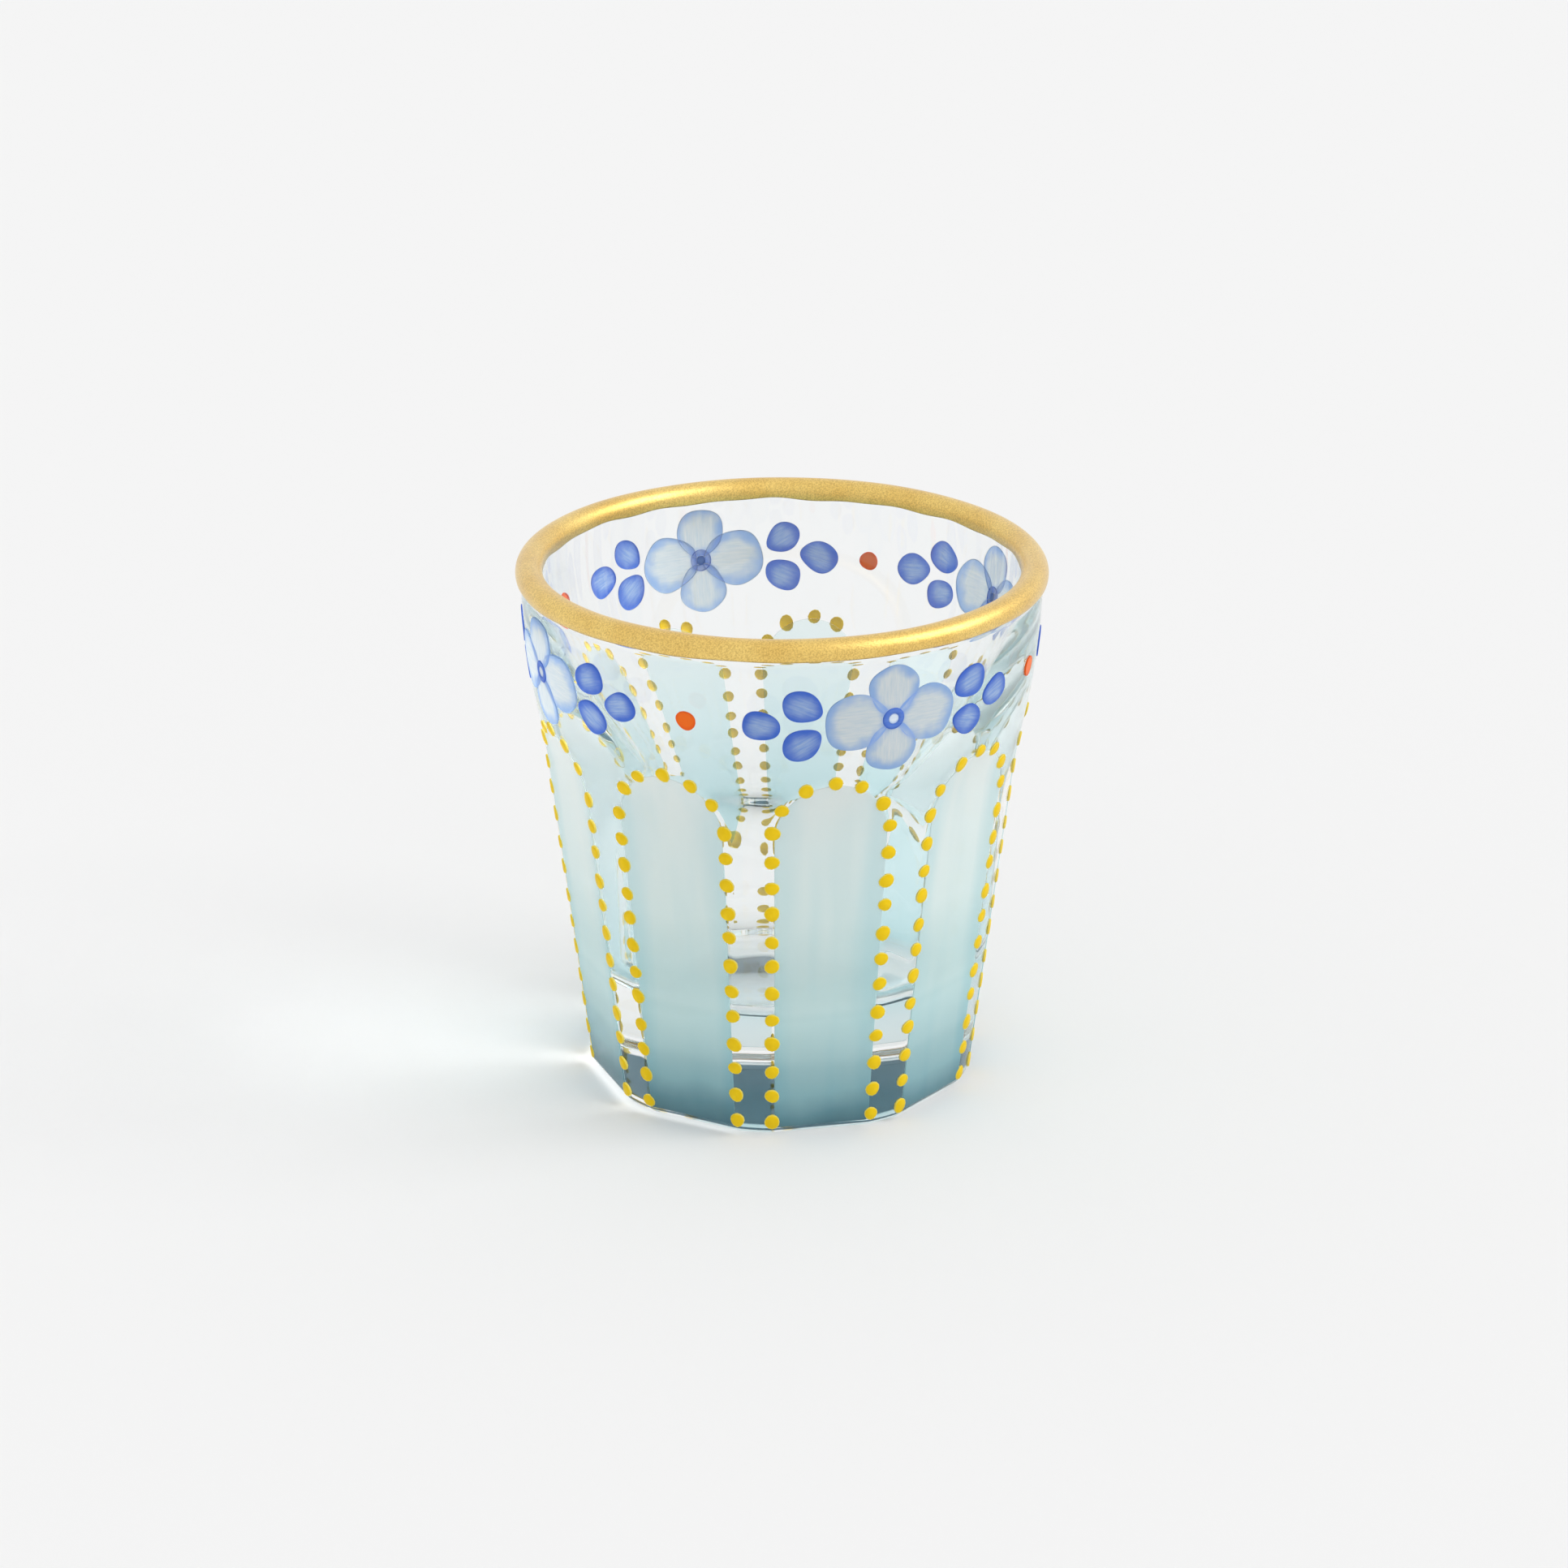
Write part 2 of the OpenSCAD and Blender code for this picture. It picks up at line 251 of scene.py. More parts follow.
def mixed(tree, fac, a, b, blend="MIX"):
    # colour between a and b, each a socket or a colour
    node = addNode(tree, "ShaderNodeMix", data_type="RGBA", blend_type=blend)
    for index, source in ((0, fac), (6, a), (7, b)):
        if isinstance(source, bpy.types.NodeSocket):
            tree.links.new(source, node.inputs[index])
        elif index == 0:
            node.inputs[index].default_value = source
        else:
            node.inputs[index].default_value = (*source, 1)
    return node.outputs[2]


def letLampsThrough(tree, shader, tint):
    # rays from lamps pass straight on, with what the layer takes from them
    path = addNode(tree, "ShaderNodeLightPath")
    clear = addNode(tree, "ShaderNodeBsdfTransparent", [("Color", (*tint, 1))])
    both = addNode(tree, "ShaderNodeMixShader", [(0, path.outputs["Is Shadow Ray"]),
                                                 (1, shader.outputs[0]), (2, clear.outputs[0])])
    tree.links.new(both.outputs[0], tree.nodes["Material Output"].inputs["Surface"])


# clear glass body
glassIor = 1.5
hollowRough = 0.06
clearGlass, tree, shader = newMaterial("clearGlass", Base_Color=(0.985, 0.995, 0.995, 1), Roughness=0.0,
                                       IOR=glassIor, Transmission_Weight=1.0)
# the hollow under the foot is dull: it lets steep light through, and throws slanting light back slate blue,
# a painted shade that stands for the dark table under the foot
hollow = addNode(tree, "ShaderNodeAttribute", attribute_name="edge").outputs["Fac"]
passing = addNode(tree, "ShaderNodeBsdfRefraction", [("Color", (0.9, 0.95, 0.96, 1)),
                                                     ("Roughness", hollowRough), ("IOR", glassIor)])
slateShade = addNode(tree, "ShaderNodeBsdfAnisotropic", [("Color", (0.125, 0.21, 0.255, 1)),
                                                     ("Roughness", hollowRough)])
slant = addNode(tree, "ShaderNodeFresnel", [("IOR", glassIor)])
dull = addNode(tree, "ShaderNodeMixShader", [(0, slant.outputs[0]), (1, passing.outputs[0]),
                                             (2, slateShade.outputs[0])])
whole = addNode(tree, "ShaderNodeMixShader", [(0, hollow), (1, shader.outputs[0]), (2, dull.outputs[0])])
letLampsThrough(tree, whole, (0.955, 0.96, 0.96))


def glassRows():
    # the section from the middle of the underside, out, up, over the lip and down to the middle
    # of the bowl, carried round the axis with outerR on its outside
    turn = np.linspace(0, 2 * math.pi, glass["columns"], endpoint=False)
    rows = []

    def add(radius, z):
        rows.append(place(turn, radius, np.full_like(turn, z)))

    ball = (glass["hollowR"] ** 2 + glass["hollowDepth"] ** 2) / glass["hollowDepth"] / 2
    for r in np.linspace(0, glass["hollowR"], glass["hollowRows"]):
        add(r, glass["hollowDepth"] - ball + math.sqrt(ball**2 - r**2))
    footEdge = outerR(turn, np.zeros_like(turn)) - glass["footRound"]
    for s in (0.15, 0.5, 0.85):
        add(glass["hollowR"] + (footEdge - glass["hollowR"]) * s, 0.0)
    for t in np.linspace(0, math.pi / 2, 9)[:-1]:
        z = glass["footRound"] * (1 - math.cos(t))
        add(outerR(turn, np.full_like(turn, z)) - glass["footRound"] * (1 - math.sin(t)), z)
    lipTurn = math.acos((float(ribR(lipZ)) - lipMidR) / lipR)
    wallTop = lipZ - lipR * math.sin(lipTurn)
    # few rows where the wall is straight, and more in the flare and the heads of the panels
    straight = np.linspace(glass["footRound"] + glass["firstStep"], glass["straightZ"], 14)[:-1]
    heads = np.linspace(glass["straightZ"], glass["headZ"], 27)[:-1]
    flare = np.linspace(glass["headZ"], wallTop, 16)[:-1]
    for z in np.concatenate([[glass["footRound"]], straight, heads, flare]):
        add(outerR(turn, np.full_like(turn, z)), z)
    for t in np.linspace(-lipTurn, math.pi, 22):
        add(lipMidR + lipR * math.cos(t), lipZ + lipR * math.sin(t))
    slope = math.atan(glass["bowlLean"])
    heelIn = glass["heelR"] * (1 - math.sin(slope)) / math.cos(slope)
    heelX, heelZ = glass["floorR"] - heelIn, glass["floorT"] + glass["heelR"]
    lowZ = heelZ - glass["heelR"] * math.sin(slope)
    for z in np.linspace(lipZ, lowZ, 72)[1:-1]:
        add(bowlR(z), z)
    for t in np.linspace(-slope, -math.pi / 2, 12):
        add(heelX + glass["heelR"] * math.cos(t), heelZ + glass["heelR"] * math.sin(t))
    for r in np.linspace(heelX, 0, 7)[1:]:
        add(r, glass["floorT"])
    return np.stack(rows)


rows = glassRows()
hollowMark = np.zeros(rows.shape[:2])
hollowMark[:glass["hollowRows"]] = 1.0
glassMesh = gridMesh("glassBody", [(rows, "first last")], edges=[hollowMark])
addPiece("glassBody", glassMesh, clearGlass, "glass_body")
print("glass body:", rows.shape[0], "rows")

# gilding over the lip
gilding = {"thickness": 0.45, "drop": 0.7, "wave": 0.16, "outerWaveShare": 0.4, "uneven": 0.025,
           "tuckOut": 0.12, "tuckIn": 0.1, "columns": 360, "sink": 0.06}
gold, tree, shader = newMaterial("satinGold", Metallic=1.0, Roughness=0.42, Coat_Weight=1.0,
                                 Coat_Roughness=0.38)
where = addNode(tree, "ShaderNodeTexCoord").outputs["Object"]
grain = addNode(tree, "ShaderNodeTexNoise", [("Vector", where), ("Scale", 5200.0), ("Detail", 2.0)])
cloud = addNode(tree, "ShaderNodeTexNoise", [("Vector", where), ("Scale", 160.0), ("Detail", 3.0)])
tone = ramp(tree, cloud.outputs["Fac"], [(0.3, (0.86, 0.57, 0.13)), (0.72, (0.97, 0.71, 0.21))])
spark = ramp(tree, grain.outputs["Fac"], [(0.36, (0.74, 0.70, 0.62)), (0.6, (1.0, 1.0, 1.0))])
tree.links.new(mixed(tree, 1.0, tone, spark, "MULTIPLY"), shader.inputs["Base Color"])
bump = addNode(tree, "ShaderNodeBump", [("Height", grain.outputs["Fac"]), ("Strength", 0.45),
                                        ("Distance", 0.00006)])
tree.links.new(bump.outputs["Normal"], shader.inputs["Normal"])


def gildRows():
    # outer side, half round and inner side of the gilding, then back along the lip inside it.
    # Sums of sines make its thickness and its lower edges uneven
    turn = np.linspace(0, 2 * math.pi, gilding["columns"], endpoint=False)
    swell = np.sin(7 * turn + 1.3) * np.sin(3 * turn)
    band = lipR + gilding["thickness"] - gilding["uneven"] + gilding["uneven"] * swell
    slow = (np.sin(11 * turn) + np.sin(17 * turn + 2) - 1) / 2
    quick = (np.sin(9 * turn + 0.4) + np.sin(23 * turn + 1.1) + np.sin(14 * turn + 4) - 0.6) / 2
    waveOut = gilding["drop"] + gilding["wave"] * gilding["outerWaveShare"] * slow
    waveIn = gilding["drop"] + gilding["wave"] * quick
    rows = []
    for s in (0.0, 0.35, 0.7):
        radius = lipMidR + band - gilding["tuckOut"] * (1 - s) ** 2
        rows.append(place(turn, radius, lipZ - waveOut * (1 - s)))
    for t in np.linspace(0, math.pi, 22):
        rows.append(place(turn, lipMidR + band * math.cos(t), lipZ + band * math.sin(t)))
    for s in (0.4, 0.75, 1.0):
        rows.append(place(turn, lipMidR - band + gilding["tuckIn"] * s**2, lipZ - waveIn * s))
    inside = lipR - gilding["sink"]
    for t in np.linspace(math.pi, 0, 14):
        dip = -waveIn if t > math.pi / 2 else -waveOut
        low = math.cos(t) ** 8
        z = lipZ + inside * math.sin(t) + dip * low
        rows.append(place(turn, lipMidR + inside * math.cos(t), z))
    rows.append(rows[0])
    return np.stack(rows)


rows = gildRows()
addPiece("gildedRim", gridMesh("gildedRim", [(rows, "ring")]), gold, "gilded_rim")
print("gilded rim:", rows.shape[0], "rows")


underMark = -1.0  # what "edge" holds on the underside of a paint
underBelow = -0.1  # materials take it for the underside below this


def dab(edgeAcross, edgeUp, depths, surface, streakTurn=0.0):
    # a closed dab of paint: rings of its outline, out over its face and back under it.
    # depths: (share of the outline, height above the glass), from the middle of the face
    # to the middle underneath.
    # The outline comes counterclockwise and is turned round, which makes the faces point out.
    edgeAcross, edgeUp = edgeAcross[::-1], edgeUp[::-1]
    share = np.array([d[0] for d in depths])[:, None]
    height = np.array([d[1] for d in depths])[:, None]
    across, up = share * edgeAcross[None, :], share * edgeUp[None, :]
    points = surface(across, up, np.broadcast_to(height, across.shape))
    along = across * math.cos(streakTurn) + up * math.sin(streakTurn)
    beside = up * math.cos(streakTurn) - across * math.sin(streakTurn)
    edge = np.where((height < 0) & (share < 1), underMark, share)
    edge = np.broadcast_to(edge, across.shape).copy()
    return (points, "first last"), np.stack([along, beside], -1), edge


def onBand(turn, z):
    # from across and up on a plane that faces the glass at turn, straight back on to the glass
    def surface(across, up, height):
        at = turn + np.arcsin(across / ribR(z + up))
        return place(at, outerR(at, z + up) + height, z + up)
    return surface


# frosted coats on the panels
coat = {"thickness": 0.12, "margin": 0.3, "sink": 0.03, "rings": 34, "columns": 200, "midZ": 25.0,
        "glow": 0.68, "foot": glass["footRound"] * (1 - math.sin(math.atan(glass["ribLean"])))}
frost, tree, shader = newMaterial("frostedBlue", Roughness=0.27, IOR=1.35)
where = addNode(tree, "ShaderNodeTexCoord").outputs["Object"]
height = addNode(tree, "ShaderNodeSeparateXYZ", [("Vector", where)]).outputs["Z"]
spray = addNode(tree, "ShaderNodeTexNoise", [("Vector", where), ("Scale", 70.0), ("Detail", 3.0)])
# level: 0 at the foot and 1 at the heads, with a little stray from the spray
level = addNode(tree, "ShaderNodeMapRange", [("Value", height), ("From Min", 0.0), ("From Max", 0.05)])
wander = addNode(tree, "ShaderNodeMath", [(0, spray.outputs["Fac"]), (1, 0.12), (2, -0.06)],
                 operation="MULTIPLY_ADD")
level = addNode(tree, "ShaderNodeMath", [(0, level.outputs["Result"]), (1, wander.outputs[0])],
                operation="ADD")
# painted shade: the coat's pale blue is painted much darker towards the foot, for the shade of the thick
# foot of the glass
tint = ramp(tree, level.outputs[0], [(0.0, (0.065, 0.155, 0.20)), (0.06, (0.155, 0.315, 0.36)),
                                     (0.12, (0.33, 0.55, 0.59)), (0.32, (0.70, 0.895, 0.885)),
                                     (0.44, (0.69, 0.87, 0.86)), (0.6, (0.87, 0.98, 0.955)),
                                     (0.95, (0.95, 1.0, 0.975))])
# painted shade: the coat is painted a little darker below two heights, where the thick floor of the glass
# lies behind it, with two soft edges
floorShade = (0.91, 0.94, 0.95)
for low, high in ((0.0090, 0.0110), (0.0164, 0.0178)):
    above = addNode(tree, "ShaderNodeMapRange", [("Value", height), ("From Min", low), ("From Max", high)],
                    interpolation_type="SMOOTHSTEP")
    tint = mixed(tree, above.outputs["Result"], mixed(tree, 1.0, tint, floorShade, "MULTIPLY"), tint)
# painted shade and sheen: the coat is painted darker along the sides of a panel, and in soft vertical
# streaks that leave paler stripes like a satin sheen
flatMap = addNode(tree, "ShaderNodeUVMap", uv_map="paintMap").outputs["UV"]
across = addNode(tree, "ShaderNodeSeparateXYZ", [("Vector", flatMap)]).outputs["X"]
side = addNode(tree, "ShaderNodeMath", [(0, across)], operation="ABSOLUTE")
side = addNode(tree, "ShaderNodeMapRange", [("Value", side.outputs[0]), ("From Min", 2.6),
                                            ("From Max", 7.0)], interpolation_type="SMOOTHSTEP")
tall = addNode(tree, "ShaderNodeMapping", [("Vector", where), ("Scale", (210.0, 210.0, 16.0))])
sheenStreak = addNode(tree, "ShaderNodeTexNoise", [("Vector", tall.outputs[0]), ("Scale", 1.0),
                                              ("Detail", 2.0)])
sheenStreak = addNode(tree, "ShaderNodeMapRange", [("Value", sheenStreak.outputs["Fac"]), ("From Min", 0.3),
                                              ("From Max", 0.7), ("To Min", -0.4), ("To Max", 0.4)])
sideShade = addNode(tree, "ShaderNodeMath", [(0, side.outputs["Result"]), (1, sheenStreak.outputs["Result"])],
                operation="ADD", use_clamp=True)
tint = mixed(tree, sideShade.outputs[0], tint, mixed(tree, 1.0, tint, (0.80, 0.915, 0.955), "MULTIPLY"))
# the share of light that passes through, smaller near the foot, which adds to the painted shade there
throughShare = addNode(tree, "ShaderNodeMapRange", [("Value", level.outputs[0]), ("From Min", 0.0),
                                            ("From Max", 0.4), ("To Min", 0.16), ("To Max", 0.44)])
# the side of the coat on the glass is lit from behind: all its light comes through it, and is deeper
# in the lower half
edge = addNode(tree, "ShaderNodeAttribute", attribute_name="edge").outputs["Fac"]
under = addNode(tree, "ShaderNodeMath", [(0, edge), (1, underBelow)], operation="LESS_THAN")
behind = addNode(tree, "ShaderNodeNewGeometry").outputs["Backfacing"]
inside = addNode(tree, "ShaderNodeMath", [(0, under.outputs[0]), (1, behind)], operation="MAXIMUM")
passed = addNode(tree, "ShaderNodeMath", [(0, throughShare.outputs["Result"]), (1, inside.outputs[0])],
                 operation="MAXIMUM")
tree.links.new(passed.outputs[0], shader.inputs["Transmission Weight"])
deep = ramp(tree, level.outputs[0], [(0.0, (0.90, 0.95, 0.955)), (0.1, (0.80, 0.90, 0.92)),
                                     (0.2, (0.62, 0.82, 0.85)), (0.36, (0.70, 0.875, 0.90)),
                                     (0.6, (0.80, 0.93, 0.945)), (0.95, (0.91, 0.98, 0.983))])
tree.links.new(mixed(tree, inside.outputs[0], tint, deep), shader.inputs["Base Color"])
speck = addNode(tree, "ShaderNodeTexNoise", [("Vector", where), ("Scale", 2600.0), ("Detail", 2.0)])
bump = addNode(tree, "ShaderNodeBump", [("Height", speck.outputs["Fac"]), ("Strength", 0.12),
                                        ("Distance", 0.00005)])
tree.links.new(bump.outputs["Normal"], shader.inputs["Normal"])
milky = addNode(tree, "ShaderNodeBsdfTranslucent", [("Color", deep)])
glow = addNode(tree, "ShaderNodeMath", [(0, behind), (1, coat["glow"])], operation="MULTIPLY")
frosted = addNode(tree, "ShaderNodeMixShader", [(0, glow.outputs[0]), (1, shader.outputs[0]),
                                                (2, milky.outputs[0])])
letLampsThrough(tree, frosted, (0.76, 0.78, 0.785))


def coatEdge():
    # outline of a coat about its middle: foot, sides and a half-round head, with even steps along it
    footHalf = panelHalf(coat["foot"]) - coat["margin"]
    headHalf = archR - coat["margin"]
    arch = np.linspace(0, math.pi, 60)
    steps = 40
    rising = np.linspace(coat["foot"], archZ, steps)
    widening = np.linspace(footHalf, headHalf, steps)
    corners = np.concatenate([
        np.stack([np.linspace(-footHalf, footHalf, steps), np.full(steps, coat["foot"])], -1),
        np.stack([widening, rising], -1)[1:],
        np.stack([headHalf * np.cos(arch), archZ + headHalf * np.sin(arch)], -1)[1:],
        np.stack([-widening[::-1], rising[::-1]], -1)[1:]])
    length = np.concatenate([[0], np.cumsum(np.hypot(*np.diff(corners, axis=0).T))])
    even = np.linspace(0, length[-1], coat["columns"], endpoint=False)
    return np.interp(even, length, corners[:, 0]), np.interp(even, length, corners[:, 1])


coatAcross, coatZ = coatEdge()
t = coat["thickness"]
faceShares = np.linspace(0, 0.985, coat["rings"])
coatDepths = ([(s, t) for s in faceShares] + [(0.995, t * 0.8), (1.0, t * 0.4), (0.998, -coat["sink"])]
              + [(s, -coat["sink"]) for s in faceShares[::-1]])
for i in range(glass["panelN"]):
    panelTurn = math.radians(glass["panelTurn"]) + panelStep * i

    def onPanel(across, up, height):  # on the panel's own surface, square to it
        out = panelOut(coat["midZ"] + up) + height
        return place(panelTurn + np.arctan2(across, out), np.hypot(across, out), coat["midZ"] + up)

    block, uv, edge = dab(coatAcross, coatZ - coat["midZ"], coatDepths, onPanel)
    addPiece(f"frostedPanel{i + 1}", gridMesh(f"frostedPanel{i + 1}", [block], [uv], [edge]), frost,
             f"frosted_panel_{i + 1}")
print("frosted coats:", glass["panelN"])


def oneFilm(tree, shader, colour, edge, through, underColour=None):
    # paint that passes on a share of the light, with its underside clear or of another paint
    passed = addNode(tree, "ShaderNodeBsdfTranslucent", [("Color", colour)])
    film = addNode(tree, "ShaderNodeMixShader", [(0, through), (1, shader.outputs[0]),
                                                 (2, passed.outputs[0])])
    under = addNode(tree, "ShaderNodeMath", [(0, edge), (1, underBelow)], operation="LESS_THAN")
    clear = addNode(tree, "ShaderNodeBsdfTransparent")
    if underColour:
        clear = addNode(tree, "ShaderNodeBsdfTranslucent", [("Color", (*underColour, 1))])
    paint = addNode(tree, "ShaderNodeMixShader", [(0, under.outputs[0]), (1, film.outputs[0]),
                                                  (2, clear.outputs[0])])
    tree.links.new(paint.outputs[0], tree.nodes["Material Output"].inputs["Surface"])


def enamel(name, edgeColour, faceColour, hairColour, edgeFrom, hairFrom, through, underColour=None):
    # brushed enamel, one film of paint: thick colour at the edge, and inside it pale brush hairs.
    # through is the share of light that the film passes on, underColour the colour of a layer under it
    material, tree, shader = newMaterial(name, Roughness=0.35, IOR=1.45, Specular_IOR_Level=0.3)
    edge = addNode(tree, "ShaderNodeAttribute", attribute_name="edge").outputs["Fac"]
    flatMap = addNode(tree, "ShaderNodeUVMap", uv_map="paintMap").outputs["UV"]
    long = addNode(tree, "ShaderNodeMapping", [("Vector", flatMap), ("Scale", (0.35, 3.4, 1.0))])
    hairs = addNode(tree, "ShaderNodeTexNoise", [("Vector", long.outputs[0]), ("Scale", 1.0),
                                                 ("Detail", 5.0), ("Roughness", 0.65)])
    pools = addNode(tree, "ShaderNodeTexNoise", [("Vector", flatMap), ("Scale", 0.32), ("Detail", 2.0)])
    wander = addNode(tree, "ShaderNodeMath", [(0, pools.outputs["Fac"]), (1, 0.9), (2, -0.45)],
                     operation="MULTIPLY_ADD")
    rim = addNode(tree, "ShaderNodeMath", [(0, edge), (1, wander.outputs[0])], operation="ADD")
    rim = addNode(tree, "ShaderNodeMapRange", [("Value", rim.outputs[0]), ("From Min", edgeFrom),
                                               ("From Max", 1.02)], interpolation_type="SMOOTHSTEP")
    pale = addNode(tree, "ShaderNodeMapRange", [("Value", hairs.outputs["Fac"]), ("From Min", hairFrom),
                                                ("From Max", hairFrom + 0.36)])
    face = mixed(tree, pale.outputs["Result"], faceColour, hairColour)
    colour = mixed(tree, rim.outputs["Result"], face, edgeColour)
    tree.links.new(colour, shader.inputs["Base Color"])
    bump = addNode(tree, "ShaderNodeBump", [("Height", hairs.outputs["Fac"]), ("Strength", 0.12),
                                            ("Distance", 0.00006)])
    tree.links.new(bump.outputs["Normal"], shader.inputs["Normal"])
    oneFilm(tree, shader, colour, edge, through, underColour)
    return material


# raised yellow dots along the edges of the panels
dots = {"count": 29, "radius": 0.95, "low": 2.0, "stray": 0.2, "sizeShare": 0.07, "columns": 12,
        "through": 0.16,
        "depths": [(0.0, 0.29), (0.86, 0.262), (1.0, 0.17), (1.0, -0.04), (0.97, -0.04), (0.0, -0.04)]}
yellow, tree, shader = newMaterial("yellowEnamel", Roughness=0.45, IOR=1.45, Specular_IOR_Level=0.22)
edge = addNode(tree, "ShaderNodeAttribute", attribute_name="edge").outputs["Fac"]
where = addNode(tree, "ShaderNodeTexCoord").outputs["Object"]
cloud = addNode(tree, "ShaderNodeTexNoise", [("Vector", where), ("Scale", 900.0), ("Detail", 2.0)])
body = ramp(tree, cloud.outputs["Fac"], [(0.3, (0.93, 0.62, 0.003)), (0.7, (0.99, 0.68, 0.006))])
border = ramp(tree, edge, [(0.86, (0, 0, 0)), (0.95, (1, 1, 1))])
colour = mixed(tree, border, body, (0.95, 0.76, 0.12))
tree.links.new(colour, shader.inputs["Base Color"])
oneFilm(tree, shader, colour, edge, dots["through"])

sideL = archZ - dots["low"]
pathL = 2 * sideL + math.pi * archR
ovalTurn = np.linspace(0, 2 * math.pi, dots["columns"], endpoint=False)


def dotPlace(along):
    # where a dot lies by its way along the row: up one side of the panel, over the arch, down the other
    if along < sideL:
        return -float(panelHalf(dots["low"] + along)), dots["low"] + along
    if along > pathL - sideL:
        return float(panelHalf(dots["low"] + pathL - along)), dots["low"] + pathL - along
    turn = (along - sideL) / archR
    return -archR * math.cos(turn), archZ + archR * math.sin(turn)


for i in range(1, glass["panelN"] + 1):
    panelTurn = math.radians(glass["panelTurn"]) + panelStep * (i - 1)
    blocks, uvs, edges = [], [], []
    for k in range(dots["count"]):
        count = i * dots["count"] + k
        along = pathL * k / (dots["count"] - 1)
        if 0 < k < dots["count"] - 1:
            along += dots["stray"] * float(stray(count))
        x, z = dotPlace(along)
        size = dots["radius"] * (1 + dots["sizeShare"] * float(stray(count + dots["count"])))
        wallR = float(ribR(z))
        turn = panelTurn + math.asin(x / wallR)
        oval = size * (1 + 0.05 * np.sin(2 * ovalTurn + 5 * stray(count + 3))
                       + 0.03 * np.sin(3 * ovalTurn + count))

        def onEdge(across, up, height, turn=turn, z=z, wallR=wallR):
            at = turn + across / wallR
            return place(at, outerR(at, z + up) + height, z + up)

        block, uv, edge = dab(oval * np.cos(ovalTurn), oval * np.sin(ovalTurn), dots["depths"], onEdge)
        blocks.append(block)
        uvs.append(uv)
        edges.append(edge)
    addPiece(f"dotBorder{i}", gridMesh(f"dotBorder{i}", blocks, uvs, edges), yellow, f"dot_border_{i}")
print("yellow dots:", glass["panelN"] * dots["count"])

# garland of flowers, leaves and orange dots on the clear band
garland = {
    "turns": [24.6, 117.0, 200.0, 293.3], "footGap": 0.15, "headGap": 1.5, "sink": 0.04,
    "reach": 8.6, "petalN": 4, "petalW": 6.6, "petalSideW": 7.4, "petalT": 0.12, "petalEgg": 0.16,
    "petalWobble": 0.02, "petalOver": 0.004, "petalColumns": 56, "rootShare": 0.25,
    "ringR": 1.45, "heartR": 0.65, "ringT": 0.2, "orangeR": 1.25, "orangeRise": 0.25, "domeShare": 0.9,
    "roundColumns": 40,
    "leafL": 5.0, "leafW": 4.0, "leafT": 0.16, "leafGap": 0.5, "leafEgg": 0.14, "leafTilt": 24.0,
    "leafTiltStray": 16.0, "leafStray": 0.05, "leafWobble": 0.025, "leafColumns": 48,
}
lowZ = glass["archTopZ"] + dots["radius"] * (1 + dots["sizeShare"]) + garland["footGap"]
highZ = lipZ - gilding["drop"] - garland["headGap"]
garlandZ = (lowZ + highZ) / 2
uprightReach = (highZ - lowZ) / 2
bandR = float(ribR(garlandZ))
petalBlue = enamel("petalEnamel", edgeColour=(0.38, 0.58, 0.94), faceColour=(0.70, 0.82, 0.90),
                   hairColour=(0.88, 0.93, 0.95), edgeFrom=0.5, hairFrom=0.3, through=0.46)
leafBlue = enamel("leafEnamel", edgeColour=(0.075, 0.19, 0.76), faceColour=(0.24, 0.40, 0.84),
                  hairColour=(0.50, 0.65, 0.91), edgeFrom=0.26, hairFrom=0.35, through=0.4)
ringBlue = enamel("ringEnamel", edgeColour=(0.09, 0.22, 0.74), faceColour=(0.13, 0.28, 0.80),
                  hairColour=(0.22, 0.38, 0.84), edgeFrom=0.6, hairFrom=0.4, through=0.4)
heartPale = enamel("heartEnamel", edgeColour=(0.50, 0.64, 0.88), faceColour=(0.72, 0.81, 0.92),
                   hairColour=(0.84, 0.89, 0.95), edgeFrom=0.6, hairFrom=0.4, through=0.1,
                   underColour=(0.50, 0.66, 0.95))
orange = enamel("orangeEnamel", edgeColour=(0.96, 0.13, 0.004), faceColour=(1.0, 0.165, 0.005),
                hairColour=(1.0, 0.185, 0.007), edgeFrom=0.6, hairFrom=0.4, through=0.16)


def egg(length, width, narrow, turn):
    # an egg about the middle of its length, narrow at the start of it
    return length * np.cos(turn) / 2, width * np.sin(turn) * (1 + narrow * np.cos(turn)) / 2


def turned(across, up, angle):
    return (across * math.cos(angle) - up * math.sin(angle),
            across * math.sin(angle) + up * math.cos(angle))


def paintDepths(thick):  # a flat face, a rounded edge and an underside sunk a little into the glass
    shares = (0.0, 0.2, 0.4, 0.58, 0.72, 0.83, 0.91, 0.965)
    face = [(s, thick * (0.8 + 0.2 * s**4)) for s in shares]
    sunk = -garland["sink"]
    return face + [(0.99, thick * 0.75), (1.0, thick * 0.3), (1.0, sunk), (0.97, sunk), (0.0, sunk)]


petalTurn = np.linspace(0, 2 * math.pi, garland["petalColumns"], endpoint=False)
leafTurn = np.linspace(0, 2 * math.pi, garland["leafColumns"], endpoint=False)
circle = np.linspace(0, 2 * math.pi, garland["roundColumns"], endpoint=False)
flowerN = len(garland["turns"])


